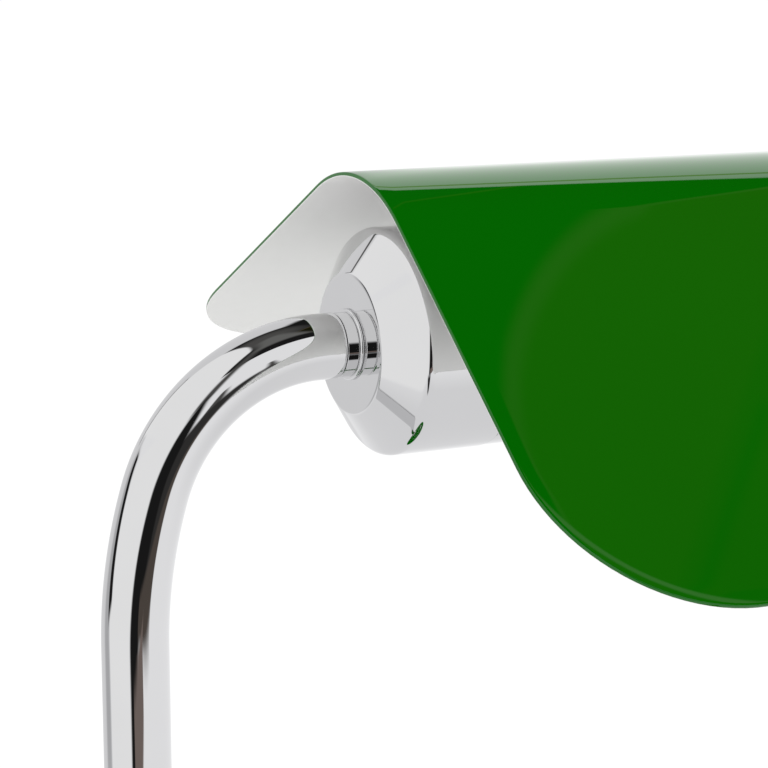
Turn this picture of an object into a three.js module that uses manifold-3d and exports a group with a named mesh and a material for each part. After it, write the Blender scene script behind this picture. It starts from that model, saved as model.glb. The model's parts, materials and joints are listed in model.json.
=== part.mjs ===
// A desk lamp: a tent-shaped metal shade and its lampholder swivel on the end of a bent tube
// stem, which stands on a round weighted base with a push button.
//
// Millimetres, +Z up. The origin is the middle of the base, on the surface that it stands on.
// +X runs along the lamp axis, from the stem to the bulb, and -Y is the front.

import * as THREE from 'three';
import { mergeVertices } from 'three/addons/utils/BufferGeometryUtils.js';
import Module from 'manifold-3d';

const wasm = await Module();
wasm.setup();

// ---------------------------------------------------------------- driving dimensions

const gap = 0.3;                      // between two pieces that touch
const wallGap = 0.4;                  // around a shaft in its hole

const axisHeight = 325;               // lamp axis above the table

const base = { radius: 95, height: 26, wall: 1.2, edgeRadius: 7, skirtBottom: 2.6 };
const felt = { radius: 89.5, thickness: 2 };
const plate = { radius: 90.5, thickness: 1.8 };
const weight = { radius: 86, thickness: 12, bossRadius: 6.5, bossCircle: 70 };
const plateScrew = { count: 3, shankRadius: 2, headRadius: 4, length: 12 };

const inlet = { height: 9.5, holeRadius: 4.5, flangeRadius: 6.2, flange: 1.8, bore: 3.3 };
const terminals = { y: 38, length: 24, width: 16, height: 7.5, pitch: 10, clampRadius: 2.2 };

const pushSwitch = {
  y: -60, neckRadius: 10, bodyRadius: 14, bodyBottom: 8.5, floor: 2, pocketRadius: 16,
  buttonRadius: 8, buttonRise: 6.5, dome: 1.4, travel: 3, bezelRadius: 13.5, bezelHeight: 2.5,
};
// The switch's two wires leave its floor, run under the weight and rise to the terminals.
const switchWire = { radius: 0.9, exit: 5, level: 5.6, bend: 8, spread: 9, run: 40, rise: 12 };

const stem = { x: -66, radius: 7, wall: 1, lowBend: 106, topBend: 39, topTurn: 72.5, lead: 3.75 };
const collar = { radius: 18, foot: 2.5, height: 11, topRadius: 9.5, edge: 1.5, throat: 3 };
const nipple = { radius: 4.9, bore: 3.7, bottom: 11.3, top: 46, pastInsert: 2 };
const hexNut = { acrossFlats: 14, height: 4 };
const stemWasher = { radius: 12, thickness: 1 };
const flex = { radius: 2, clearance: 1.2, pastBlock: 4, turn: 7, endBefore: 12 };

const neck = { length: 3.4, radius: 6.9, washerRadius: 7.6, washer: 0.6, shank: 4.9, bore: 3.1 };
const swivel = {
  washerRadius: 9, fibre: 1, stop: 1.2, spring: 1.3, springRadius: 8, dish: 0.7, nut: 4.2,
  tail: 1.5,
};
const stop = { lugRadius: 13, pinCircle: 11.2, pinRadius: 1.3, pinLength: 3.4, limit: 60 };

const cap = { faceRadius: 14.9, radius: 24.35, coneLength: 6.5, length: 28, wall: 1.2, face: 1.5 };
const sleeve = { radius: 24.2, wall: 1.2, spigot: 10, end: 56, floor: 1.2, register: 2 };

const holder = {
  start: 19.5, end: 68, radius: 19.5, wall: 3.4, back: 4, chamfer: 3.5, nut: 3, nippleEnds: 2,
};
const insert = { start: 38, thickness: 6, radius: 15.7 };
const terminalScrew = { offset: 9, headRadius: 3, head: 2.2, shank: 1.4, length: 4 };
const contact = { headRadius: 4.5, head: 1.7, shank: 1.4 };
const threadShell = { radius: 14.4, wall: 0.8, end: 66 };
const coreRadius = 0.7;

const bulb = {
  length: 98, radius: 27.5, glass: 0.8, neckRadius: 13, neckInset: 8, capRadius: 13.2,
  capWall: 0.5, capLength: 20, capTaper: 2, contactRadius: 4.5, contact: 1.3, insulator: 2.8,
  flareAngle: 130, neckHandle: 12, neckRise: 0.6, globeHandle: 13,
};

const shade = {
  length: 240, sheet: 0.95, apexHeight: 43.2, halfAngle: 55.74, apexRadius: 32.8,
  slope: 122.6, cornerRadius: 37.2, tilt: 6.06,
};
const bracket = {
  sheet: 1.5, webRadius: 27, bellyStart: 10, tabStart: 0.5, tabEnd: 30, tabLength: 18,
};
const shadeRing = { radius: 25, height: 8, lip: 2, step: 1.5 };

// ---------------------------------------------------------------- derived dimensions

const radians = THREE.MathUtils.degToRad;

const plateBottom = felt.thickness + gap;
const plateTop = plateBottom + plate.thickness;
const coverUnder = base.height - base.wall;
const weightTop = coverUnder - gap;
const weightBottom = weightTop - weight.thickness;
const stemFoot = base.height + gap;
const stemNutBottom = nipple.bottom + gap;
const stemWasherBottom = stemNutBottom + hexNut.height + gap;
const stemWasherTop = stemWasherBottom + stemWasher.thickness;

const lowTurn = radians(90 - stem.topTurn);
const bendStart = axisHeight - stem.topBend * (1 - Math.sin(lowTurn))
  - stem.lowBend * Math.sin(lowTurn);
const lowCentre = [stem.x + stem.lowBend, bendStart];
const topCentre = [
  lowCentre[0] - (stem.lowBend - stem.topBend) * Math.cos(lowTurn),
  axisHeight - stem.topBend,
];
const tubeEnd = topCentre[0] + stem.lead;
const headX = tubeEnd + neck.length;

// Places along the lamp axis, measured from the flat face of the end cap.
const washerStack = [swivel.fibre, swivel.stop, swivel.spring, swivel.nut];
const stackStart = washerStack.map((_, i) =>
  cap.face + gap + washerStack.slice(0, i).reduce((sum, thickness) => sum + thickness + gap, 0));
const sleeveStart = cap.length + gap - sleeve.spigot;
const contactFace = insert.start + insert.thickness + gap + contact.head;
const bulbStart = contactFace + gap;
const insulatorStart = bulbStart + bulb.contact + gap;
const capStart = insulatorStart + bulb.insulator + gap;

// ---------------------------------------------------------------- materials

function material(color, roughness, metalness = 0) {
  return new THREE.MeshStandardMaterial({ color, roughness, metalness });
}

const materials = {
  greenEnamel: material(0x0b5a06, 0.12),
  chrome: material(0xd6d8da, 0.06, 1),
  steel: material(0x9a9c9e, 0.35, 1),
  castIron: material(0x3b3b3c, 0.8, 0.4),
  felt: material(0x1d2a20, 0.95),
  rubber: material(0x18181a, 0.7),
  blackPlastic: material(0x1b1b1c, 0.45),
  whitePlastic: material(0xe6e4dc, 0.4),
  ceramic: material(0xece9e0, 0.3),
  brass: material(0xb9924a, 0.3, 1),
  fibre: material(0x7a3322, 0.8),
  flex: material(0x2a2a2c, 0.6),
  liveCore: material(0x6b3a1e, 0.5),
  neutralCore: material(0x2456a5, 0.5),
  glass: material(0xf4f3ee, 0.25),
};

// ---------------------------------------------------------------- outlines and solids

// Turns each corner that has a radius, its third number, into an arc.
function rounded(corners, steps = 3) {
  return corners.flatMap(([x, y, radius], i) => {
    if (!radius) return [[x, y]];
    const corner = new THREE.Vector2(x, y);
    const toward = (other) => new THREE.Vector2(other[0], other[1]).sub(corner).normalize();
    const before = toward(corners.at(i - 1));
    const after = toward(corners[(i + 1) % corners.length]);
    const half = before.angleTo(after) / 2;
    const centre = before.clone().add(after).setLength(radius / Math.sin(half)).add(corner);
    const start = before.multiplyScalar(radius / Math.tan(half)).add(corner).sub(centre);
    const end = after.multiplyScalar(radius / Math.tan(half)).add(corner).sub(centre);
    const turn = Math.atan2(start.cross(end), start.dot(end));
    return Array.from({ length: steps + 1 }, (_, k) => {
      const angle = start.angle() + (turn * k) / steps;
      return [centre.x + radius * Math.cos(angle), centre.y + radius * Math.sin(angle)];
    });
  });
}

// A solid turned about the Z axis, from an outline of [along, radius] points.
function turned(outline, segments = 24) {
  const points = outline.map(([along, radius]) => new THREE.Vector2(radius, along));
  if (THREE.ShapeUtils.isClockWise(points)) points.reverse();
  if (points[0].x > 0) points.push(points[0].clone());
  return new THREE.LatheGeometry(points, segments).rotateX(Math.PI / 2);
}

// The same solid, turned about the X axis.
function turnedAlongX(outline, segments) {
  return turned(outline, segments).rotateY(Math.PI / 2);
}

// A round rod or disc about the Z axis.
function rod(from, to, radius, segments) {
  return turned([[from, 0], [from, radius], [to, radius], [to, 0]], segments);
}

// A tube or washer about the Z axis.
function tube(from, to, outer, inner, segments) {
  return turned([[from, inner], [from, outer], [to, outer], [to, inner]], segments);
}

function outlineShape(points) {
  return new THREE.Shape(points.map(([x, y]) => new THREE.Vector2(x, y)));
}

function circleShape(radius, x = 0, y = 0) {
  return new THREE.Shape().absarc(x, y, radius, 0, 2 * Math.PI);
}

// A plate from z = 0 to its thickness.
function flatPlate(shape, thickness, holes = [], curveSegments = 10) {
  shape.holes.push(...holes);
  return new THREE.ExtrudeGeometry(shape, { depth: thickness, bevelEnabled: false, curveSegments });
}

// A hexagon nut about the Z axis, from z = 0 to its height.
function nut(acrossFlats, height, hole) {
  const corners = Array.from({ length: 6 }, (_, i) => {
    const angle = (i * Math.PI) / 3;
    const reach = acrossFlats / 2 / Math.cos(Math.PI / 6);
    return [reach * Math.cos(angle), reach * Math.sin(angle)];
  });
  return flatPlate(outlineShape(corners), height, [circleShape(hole)]);
}

// Lays a plate across the lamp axis: its X goes to +Y, its Y to +Z and its thickness to +X.
function acrossLamp(geometry) {
  const turn = new THREE.Matrix4().makeBasis(
    new THREE.Vector3(0, 1, 0), new THREE.Vector3(0, 0, 1), new THREE.Vector3(1, 0, 0));
  return geometry.applyMatrix4(turn);
}

function toSolid(geometry) {
  const bare = geometry.clone();
  bare.deleteAttribute('normal');
  bare.deleteAttribute('uv');
  const merged = mergeVertices(bare);
  const triangles = [];
  for (let i = 0; i < merged.index.count; i += 3) {
    const [a, b, c] = merged.index.array.slice(i, i + 3);
    if (a !== b && b !== c && c !== a) triangles.push(a, b, c);
  }
  return new wasm.Manifold(new wasm.Mesh({
    numProp: 3,
    vertProperties: merged.attributes.position.array,
    triVerts: Uint32Array.from(triangles),
  }));
}

function toGeometry(solid) {
  const mesh = solid.getMesh();
  const geometry = new THREE.BufferGeometry();
  geometry.setAttribute('position', new THREE.BufferAttribute(mesh.vertProperties, 3));
  geometry.setIndex(new THREE.BufferAttribute(mesh.triVerts, 1));
  geometry.computeVertexNormals();
  return geometry;
}

function cutFrom(geometry, ...tools) {
  const left = tools.reduce((solid, tool) => solid.subtract(toSolid(tool)), toSolid(geometry));
  return toGeometry(left);
}

function joined(...geometries) {
  return toGeometry(geometries.map(toSolid).reduce((solid, other) => solid.add(other)));
}

// ---------------------------------------------------------------- paths

// An arc in the XZ plane.
class Bend extends THREE.Curve {
  constructor([x, z], radius, from, to) {
    super();
    Object.assign(this, { x, z, radius, from, to });
  }

  getPoint(t, target = new THREE.Vector3()) {
    const angle = THREE.MathUtils.lerp(this.from, this.to, t);
    return target.set(
      this.x + this.radius * Math.cos(angle), 0, this.z + this.radius * Math.sin(angle));
  }
}

// Curves end to end, each walked in its own number of steps.
class SteppedPath extends THREE.Curve {
  constructor(...pieces) {
    super();
    this.pieces = pieces.map(([curve, steps]) => ({ curve, steps }));
    this.steps = this.pieces.reduce((sum, piece) => sum + piece.steps, 0);
  }

  locate(u) {
    let step = u * this.steps;
    const found = this.pieces.find((piece) => {
      if (step <= piece.steps) return true;
      step -= piece.steps;
      return false;
    }) ?? this.pieces.at(-1);
    return [found.curve, Math.min(step / found.steps, 1)];
  }

  getPointAt(u, target) {
    const [curve, t] = this.locate(u);
    return curve.getPoint(t, target);
  }

  getTangentAt(u, target) {
    const [curve, t] = this.locate(u);
    return curve.getTangent(t, target);
  }
}

function line(from, to) {
  return new THREE.LineCurve3(new THREE.Vector3(...from), new THREE.Vector3(...to));
}

function bentCurve(...points) {
  const corners = points.map((point) => new THREE.Vector3(...point));
  return corners.length === 3
    ? new THREE.QuadraticBezierCurve3(...corners)
    : new THREE.CubicBezierCurve3(...corners);
}

function swept(shape, path, curveSegments) {
  return new THREE.ExtrudeGeometry(shape, {
    extrudePath: path, steps: path.steps, curveSegments,
  });
}

function wire(radius, path) {
  return swept(circleShape(radius), path, 4);
}

// The stem's own line, from a height on its straight part to a place on the lamp axis.
function stemLine(fromZ, toX) {
  const turnOver = Math.PI - lowTurn;
  return [
    [line([stem.x, 0, fromZ], [stem.x, 0, bendStart]), 1],
    [new Bend(lowCentre, stem.lowBend, Math.PI, turnOver), 4],
    [new Bend(topCentre, stem.topBend, turnOver, Math.PI / 2), 10],
    [line([topCentre[0], 0, axisHeight], [toX, 0, axisHeight]), 1],
  ];
}

// ---------------------------------------------------------------- scene graph

const lamp = new THREE.Group();
const head = new THREE.Group();
head.position.set(headX, 0, axisHeight);
const tilted = new THREE.Group();
tilted.rotation.x = radians(shade.tilt);
head.add(tilted);
lamp.add(head);

function add(name, geometry, look, parent = lamp, position = [0, 0, 0]) {
  const mesh = new THREE.Mesh(geometry, look);
  mesh.name = name;
  mesh.position.set(...position);
  parent.add(mesh);
}

// ---------------------------------------------------------------- base

const bossPlaces = Array.from({ length: plateScrew.count }, (_, i) => {
  const angle = (i * 2 * Math.PI) / plateScrew.count;
  return [weight.bossCircle * Math.cos(angle), weight.bossCircle * Math.sin(angle), 0];
});

function screwOutline(spread) {
  const { shankRadius, headRadius, length } = plateScrew;
  const neckZ = plateBottom + headRadius - shankRadius;
  return [
    [plateBottom - 2 * spread, 0], [plateBottom - 2 * spread, headRadius + spread],
    [plateBottom, headRadius + spread], [neckZ, shankRadius + spread],
    [plateBottom + length + spread, shankRadius + spread], [plateBottom + length + spread, 0],
  ];
}

function buildFeltPad() {
  add('felt_pad', rod(0, felt.thickness, felt.radius, 40), materials.felt);
}

function buildBasePlate() {
  const holes = bossPlaces.map((place) => turned(screwOutline(gap), 12).translate(...place));
  const disc = rod(plateBottom, plateTop, plate.radius, 40);
  add('base_plate', cutFrom(disc, ...holes), materials.steel);
}

function buildPlateScrews() {
  const [, , ...shank] = screwOutline(0);
  const outline = [[plateBottom, 0], ...shank];
  bossPlaces.forEach((place, i) => {
    add(`plate_screw_${i + 1}`, turned(outline, 12), materials.steel, lamp, place);
  });
}

function buildBaseWeight() {
  const slab = rod(weightBottom, weightTop, weight.radius, 36);
  const bosses = bossPlaces.map((place) =>
    rod(plateTop + gap, weightTop, weight.bossRadius, 16).translate(...place));
  const bored = bossPlaces.map((place) => turned(screwOutline(gap), 12).translate(...place));
  const stemHole = rod(0, base.height, nipple.radius + wallGap, 16).translate(stem.x, 0, 0);
  const nutPocket = rod(0, stemWasherTop + gap, hexNut.acrossFlats, 16).translate(stem.x, 0, 0);
  const switchHole = rod(0, base.height, pushSwitch.pocketRadius, 24)
    .translate(0, pushSwitch.y, 0);
  const casting = joined(slab, ...bosses);
  add('base_weight', cutFrom(casting, ...bored, stemHole, nutPocket, switchHole),
    materials.castIron);
}

function buildBaseCover() {
  const { radius, height, wall, edgeRadius, skirtBottom } = base;
  const bowl = turned(rounded([
    [height, 0], [height, radius, edgeRadius], [skirtBottom, radius],
    [skirtBottom, radius - wall], [coverUnder, radius - wall, edgeRadius - wall], [coverUnder, 0],
  ], 4), 40);
  const stemHole = rod(0, height + 1, nipple.radius + wallGap, 16).translate(stem.x, 0, 0);
  const switchHole = rod(0, height + 1, pushSwitch.neckRadius + wallGap, 24)
    .translate(0, pushSwitch.y, 0);
  const inletHole = rod(0, 2 * wall + radius, inlet.holeRadius, 16)
    .rotateX(-Math.PI / 2)
    .translate(0, 0, inlet.height);
  add('base_cover', cutFrom(bowl, stemHole, switchHole, inletHole), materials.greenEnamel);
}

// A rubber bush whose groove holds the edge of the inlet hole.
function buildCableBush() {
  const { holeRadius, flangeRadius, flange, bore } = inlet;
  const outside = base.radius + gap;
  const wallInside = Math.sqrt((base.radius - base.wall) ** 2 - flangeRadius ** 2) - gap;
  const waist = holeRadius - gap;
  const outline = [
    [wallInside - flange, bore], [wallInside - flange, flangeRadius], [wallInside, flangeRadius],
    [wallInside, waist], [outside, waist], [outside, flangeRadius, 1],
    [outside + flange, flangeRadius, 1], [outside + flange, bore],
  ];
  const bush = turned(rounded(outline, 2), 16).rotateX(-Math.PI / 2);
  add('cable_bush', bush, materials.rubber, lamp, [0, 0, inlet.height]);
}

function buildTerminalBlock() {
  const { y, length, width, height, pitch, clampRadius } = terminals;
  const channelZ = height / 2;
  const block = new THREE.BoxGeometry(length, width, height).translate(0, 0, channelZ);
  const sides = [-1, 1];
  const channels = sides.map((side) =>
    rod(-width, width, clampRadius + gap, 12).rotateX(Math.PI / 2)
      .translate((side * pitch) / 2, 0, channelZ));
  add('terminal_block', cutFrom(block, ...channels), materials.whitePlastic, lamp,
    [0, y, plateTop + gap]);
  sides.forEach((side, i) => {
    const clamp = tube(-width / 2, width / 2, clampRadius, clampRadius / 2, 12)
      .rotateX(Math.PI / 2);
    add(`terminal_clamp_${i + 1}`, clamp, materials.brass, lamp,
      [(side * pitch) / 2, y, plateTop + gap + channelZ]);
  });
}

// ---------------------------------------------------------------- push switch

function buildPushSwitch() {
  const {
    y, neckRadius, bodyRadius, bodyBottom, floor, buttonRadius, buttonRise, dome, travel,
    bezelRadius, bezelHeight,
  } = pushSwitch;
  const place = [0, y, 0];
  const neckTop = base.height + bezelHeight - gap;
  const bodyTop = coverUnder - gap;
  const well = buttonRadius + gap;
  const body = turned([
    [bodyBottom, 0], [bodyBottom, bodyRadius], [bodyTop, bodyRadius], [bodyTop, neckRadius],
    [neckTop, neckRadius], [neckTop, well], [bodyBottom + floor, well], [bodyBottom + floor, 0],
  ]);
  add('switch_body', body, materials.blackPlastic, lamp, place);

  const bezelTop = base.height + gap + bezelHeight;
  const bezel = turned(rounded([
    [base.height + gap, neckRadius + gap], [base.height + gap, bezelRadius],
    [bezelTop, bezelRadius, 1.2], [bezelTop, neckRadius + gap],
  ]));
  add('switch_bezel', bezel, materials.chrome, lamp, place);

  const buttonTop = base.height + buttonRise;
  const buttonFoot = bodyBottom + floor + travel + gap;
  const button = turned(rounded([
    [buttonFoot, 0], [buttonFoot, buttonRadius], [buttonTop - dome, buttonRadius, 0.8],
    [buttonTop, 0],
  ]));
  add('push_button', button, materials.chrome, lamp, place);

  buildSwitchWires();
}

function buildSwitchWires() {
  const { y, bodyBottom } = pushSwitch;
  const { radius, exit, level, bend, spread, run, rise } = switchWire;
  const wireGap = 1;
  [-1, 1].forEach((side, i) => {
    const start = [side * exit, y, bodyBottom - gap];
    const underWeight = [side * exit, y + bend, level];
    const end = [
      (side * terminals.pitch) / 2, terminals.y - terminals.width / 2 - wireGap,
      plateTop + gap + terminals.height / 2 - wireGap,
    ];
    const path = new SteppedPath(
      [bentCurve(start, [start[0], y, level], underWeight), 4],
      [bentCurve(underWeight, [side * spread, y + run, level], [end[0], end[1] - rise, level],
        end), 8],
    );
    add(`switch_wire_${i + 1}`, wire(radius, path), [materials.liveCore, materials.neutralCore][i]);
  });
}

// ---------------------------------------------------------------- stem

function buildStem() {
  const { x, radius, wall } = stem;
  const place = [x, 0, 0];
  const bore = radius - wall;

  const ring = circleShape(radius);
  ring.holes.push(circleShape(bore));
  const path = new SteppedPath(...stemLine(stemFoot, tubeEnd));
  add('stem_tube', swept(ring, path, 9), materials.chrome);

  const insertOuter = bore - gap;
  const insertTop = nipple.top - nipple.pastInsert;
  add('stem_insert', tube(stemFoot, insertTop, insertOuter, nipple.radius + gap, 16),
    materials.brass, lamp, place);

  const collarTop = stemFoot + collar.height;
  const footTop = stemFoot + collar.foot;
  const collarOutline = rounded([
    [stemFoot, radius + gap], [stemFoot, collar.radius], [footTop, collar.radius, collar.edge],
    [footTop + 1, collar.topRadius + collar.edge, collar.throat],
    [collarTop, collar.topRadius, 1], [collarTop, radius + gap],
  ]);
  add('stem_collar', turned(collarOutline), materials.chrome, lamp, place);

  add('stem_nipple', tube(nipple.bottom, nipple.top, nipple.radius, nipple.bore, 16),
    materials.steel, lamp, place);
  add('stem_nut', nut(hexNut.acrossFlats, hexNut.height, nipple.radius + gap), materials.steel,
    lamp, [x, 0, stemNutBottom]);
  add('stem_washer',
    tube(stemWasherBottom, stemWasherTop, stemWasher.radius, nipple.radius + gap, 16),
    materials.steel, lamp, place);
}

// The flex that runs inside the lamp, from the terminal block to the lampholder.
function buildStemFlex() {
  const flexZ = plateTop + gap + flex.radius + flex.clearance;
  const blockEnd = -terminals.length / 2 - gap - flex.pastBlock;
  const turnZ = flexZ + flex.turn;
  const nearStem = [stem.x + 5, 5, flexZ];
  const path = new SteppedPath(
    [bentCurve([blockEnd, terminals.y, flexZ], [-38, terminals.y, flexZ], [-50, 16, flexZ],
      nearStem), 8],
    [bentCurve(nearStem, [stem.x, 0, flexZ], [stem.x, 0, turnZ]), 5],
    ...stemLine(turnZ, headX + insert.start - flex.endBefore),
  );
  add('stem_flex', wire(flex.radius, path), materials.flex);
}

// ---------------------------------------------------------------- swivel

// The short spigot that the head turns on. Its tail is brazed into the tube.
function buildNeckSpigot() {
  const { length, radius, washer, shank, bore } = neck;
  const shoulder = -(washer + 2 * gap);
  const tailRadius = stem.radius - stem.wall - gap;
  const end = stackStart.at(-1) + swivel.nut + swivel.tail;
  const outline = [
    [-length - stem.lead, bore], [-length - stem.lead, tailRadius], [-length + gap, tailRadius],
    [-length + gap, radius, 0.5], [shoulder, radius, 0.5], [shoulder, shank],
    [end, shank], [end, bore],
  ];
  add('neck_spigot', turnedAlongX(rounded(outline, 2), 20), materials.chrome, head);
}

function buildSwivelStack() {
  const hole = neck.shank + wallGap;
  const washerEnd = -gap;
  add('neck_washer',
    tube(washerEnd - neck.washer, washerEnd, neck.washerRadius, hole, 20).rotateY(Math.PI / 2),
    materials.chrome, head);

  const [fibreX, stopX, springX, nutX] = stackStart;
  add('friction_washer',
    tube(fibreX, fibreX + swivel.fibre, swivel.washerRadius, hole, 20).rotateY(Math.PI / 2),
    materials.fibre, head);
  add('stop_washer', acrossLamp(flatPlate(stopWasherShape(), swivel.stop, [circleShape(hole)])),
    materials.steel, head, [stopX, 0, 0]);
  const springEnd = springX + swivel.spring;
  const springOutline = [
    [springX, hole], [springX + swivel.dish, swivel.springRadius],
    [springEnd, swivel.springRadius], [springEnd - swivel.dish, hole],
  ];
  add('spring_washer', turnedAlongX(springOutline, 20), materials.steel, head);
  add('swivel_nut', acrossLamp(nut(hexNut.acrossFlats, swivel.nut, hole)), materials.steel, head,
    [nutX, 0, 0]);
}

// A washer with a window in its rim. The stop pin travels in the window.
function stopWasherShape() {
  const pinHalf = Math.asin((stop.pinRadius + gap) / stop.pinCircle);
  const level = Math.PI / 2;
  const low = level - radians(stop.limit) - pinHalf;
  const high = level + radians(stop.limit) + pinHalf;
  const shape = new THREE.Shape();
  shape.absarc(0, 0, swivel.washerRadius, low, high, false);
  shape.absarc(0, 0, stop.lugRadius, high, low + 2 * Math.PI, false);
  return shape;
}

function buildStopPin() {
  const pin = rod(cap.face + gap, cap.face + gap + stop.pinLength, stop.pinRadius, 12)
    .rotateY(Math.PI / 2);
  add('stop_pin', pin, materials.steel, tilted, [0, 0, stop.pinCircle]);
}

// ---------------------------------------------------------------- lampholder housing

function buildEndCap() {
  const { faceRadius, radius, coneLength, length, wall, face } = cap;
  const hole = neck.shank + wallGap;
  const inner = radius - wall;
  const outline = rounded([
    [0, hole], [0, faceRadius, 0.4], [coneLength, radius, 2.5], [length, radius], [length, inner],
    [coneLength + 0.5, inner, 1.5], [face, faceRadius - wall, 1], [face, hole],
  ], 2);
  add('end_cap', turnedAlongX(outline, 36), materials.chrome, head);
}

// A drawn cup. Its spigot screws into the cap and its floor carries the lampholder.
function buildHolderSleeve() {
  const { radius, wall, spigot, end, floor, register } = sleeve;
  const spigotRadius = cap.radius - cap.wall - gap;
  const rim = sleeveStart + spigot;
  const outline = [
    [sleeveStart, nipple.radius + wallGap], [sleeveStart, spigotRadius], [rim, spigotRadius],
    [rim, radius], [end, radius], [end, radius - wall], [rim + register, radius - wall],
    [rim + register, spigotRadius - wall], [sleeveStart + floor, spigotRadius - wall],
    [sleeveStart + floor, nipple.radius + wallGap],
  ];
  add('holder_sleeve', turnedAlongX(outline, 36), materials.chrome, head);
}

function buildHolderNipple() {
  const nutStart = sleeveStart - gap - holder.nut;
  const end = holder.start + holder.back + holder.nippleEnds;
  add('holder_nipple',
    tube(nutStart - gap, end, nipple.radius, nipple.bore, 16).rotateY(Math.PI / 2),
    materials.steel, head);
  add('holder_nut', acrossLamp(nut(hexNut.acrossFlats, holder.nut, nipple.radius + gap)),
    materials.steel, head, [nutStart, 0, 0]);
}

function buildLampholder() {
  const { start, end, radius, wall, back, chamfer } = holder;
  const hole = nipple.radius + wallGap;
  const bodyOutline = [
    [start, hole], [start, radius - chamfer], [start + chamfer, radius], [end, radius],
    [end, radius - wall], [start + back, radius - wall], [start + back, hole],
  ];
  add('lampholder_body', turnedAlongX(bodyOutline, 28), materials.blackPlastic, head);

  const insertEnd = insert.start + insert.thickness;
  const screwHoles = [-1, 1].map((side) =>
    circleShape(terminalScrew.shank + gap, 0, side * terminalScrew.offset));
  const holes = [circleShape(contact.shank + gap), ...screwHoles];
  add('contact_insert',
    acrossLamp(flatPlate(circleShape(insert.radius), insert.thickness, holes, 6)),
    materials.ceramic, head, [insert.start, 0, 0]);

  const contactOutline = [
    [insert.start, 0], [insert.start, contact.shank], [insertEnd + gap, contact.shank],
    [insertEnd + gap, contact.headRadius], [contactFace, contact.headRadius], [contactFace, 0],
  ];
  add('centre_contact', turnedAlongX(contactOutline, 16), materials.brass, head);

  const { radius: shellRadius, wall: shellWall, end: shellEnd } = threadShell;
  add('thread_shell',
    tube(insertEnd + gap, shellEnd, shellRadius, shellRadius - shellWall, 24)
      .rotateY(Math.PI / 2),
    materials.brass, head);
}

function buildTerminalScrews() {
  const { offset, headRadius, head: headHeight, shank, length } = terminalScrew;
  const headEnd = insert.start - gap;
  const headStart = headEnd - headHeight;
  const outline = [
    [headStart, 0], [headStart, headRadius], [headEnd, headRadius], [headEnd, shank],
    [insert.start + length, shank], [insert.start + length, 0],
  ];
  [-1, 1].forEach((side, i) => {
    add(`terminal_screw_${i + 1}`, turnedAlongX(outline, 12), materials.brass, head,
      [0, 0, side * offset]);
    const flexEnd = insert.start - flex.endBefore + gap;
    const bend = 6;
    const path = new SteppedPath([bentCurve(
      [flexEnd, 0, side], [flexEnd + bend, 0, side], [headStart - bend, 0, side * offset],
      [headStart - gap, 0, side * offset]), 8]);
    add(`lampholder_core_${i + 1}`, wire(coreRadius, path),
      [materials.liveCore, materials.neutralCore][i], head);
  });
}

// ---------------------------------------------------------------- bulb

function buildBulb() {
  const { contactRadius, contact: contactLength, insulator, capRadius, capTaper } = bulb;
  const contactEnd = bulbStart + contactLength;
  const contactOutline = rounded([
    [bulbStart, 0], [bulbStart, contactRadius, 0.8], [contactEnd, contactRadius], [contactEnd, 0],
  ], 2);
  add('bulb_contact', turnedAlongX(contactOutline, 16), materials.brass, head);

  const insulatorEnd = insulatorStart + insulator;
  add('bulb_insulator', turnedAlongX([
    [insulatorStart, 0], [insulatorStart, contactRadius + 1],
    [insulatorEnd, capRadius - capTaper], [insulatorEnd, 0],
  ], 24), materials.blackPlastic, head);

  const capEnd = capStart + bulb.capLength;
  const capInner = capRadius - bulb.capWall;
  add('bulb_cap', turnedAlongX([
    [capStart, capRadius - capTaper], [capStart + capTaper, capRadius], [capEnd, capRadius],
    [capEnd, capInner], [capStart + capTaper, capInner], [capStart, capInner - capTaper],
  ]), materials.chrome, head);

  add('bulb_glass', turnedAlongX(glassOutline(capEnd, capInner - gap)), materials.glass, head);
}

// The outline of the glass from its neck to its tip, so far in from the outside.
function glassSkin(capEnd, inward) {
  const { neckRadius, neckHandle, neckRise, globeHandle } = bulb;
  const centre = bulbStart + bulb.length - bulb.radius;
  const radius = bulb.radius - inward;
  const flareEnd = radians(bulb.flareAngle);
  const onGlobe = (angle) =>
    new THREE.Vector2(centre + radius * Math.cos(angle), radius * Math.sin(angle));
  const joint = onGlobe(flareEnd);
  const backAlong = new THREE.Vector2(-Math.sin(flareEnd), Math.cos(flareEnd));
  const flare = new THREE.CubicBezierCurve(
    new THREE.Vector2(capEnd + gap, neckRadius - inward),
    new THREE.Vector2(capEnd + neckHandle, neckRadius - inward + neckRise),
    joint.clone().addScaledVector(backAlong, globeHandle),
    joint,
  ).getPoints(4);
  const steps = 7;
  const globe = Array.from({ length: steps - 1 }, (_, i) =>
    onGlobe(flareEnd * (1 - (i + 1) / steps)));
  return [...flare, ...globe].map((point) => [point.x, point.y]).concat([[centre + radius, 0]]);
}

function glassOutline(capEnd, insetRadius) {
  const insetStart = capEnd - bulb.neckInset;
  return [
    [insetStart, insetRadius], [capEnd + gap, insetRadius], ...glassSkin(capEnd, 0),
    ...glassSkin(capEnd, bulb.glass).reverse(), [capEnd + gap, insetRadius - bulb.glass],
    [insetStart, insetRadius - bulb.glass],
  ];
}

// ---------------------------------------------------------------- shade

const halfAngle = radians(shade.halfAngle);
const downSlope = (side) => new THREE.Vector3(0, side * Math.sin(halfAngle), -Math.cos(halfAngle));

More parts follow.
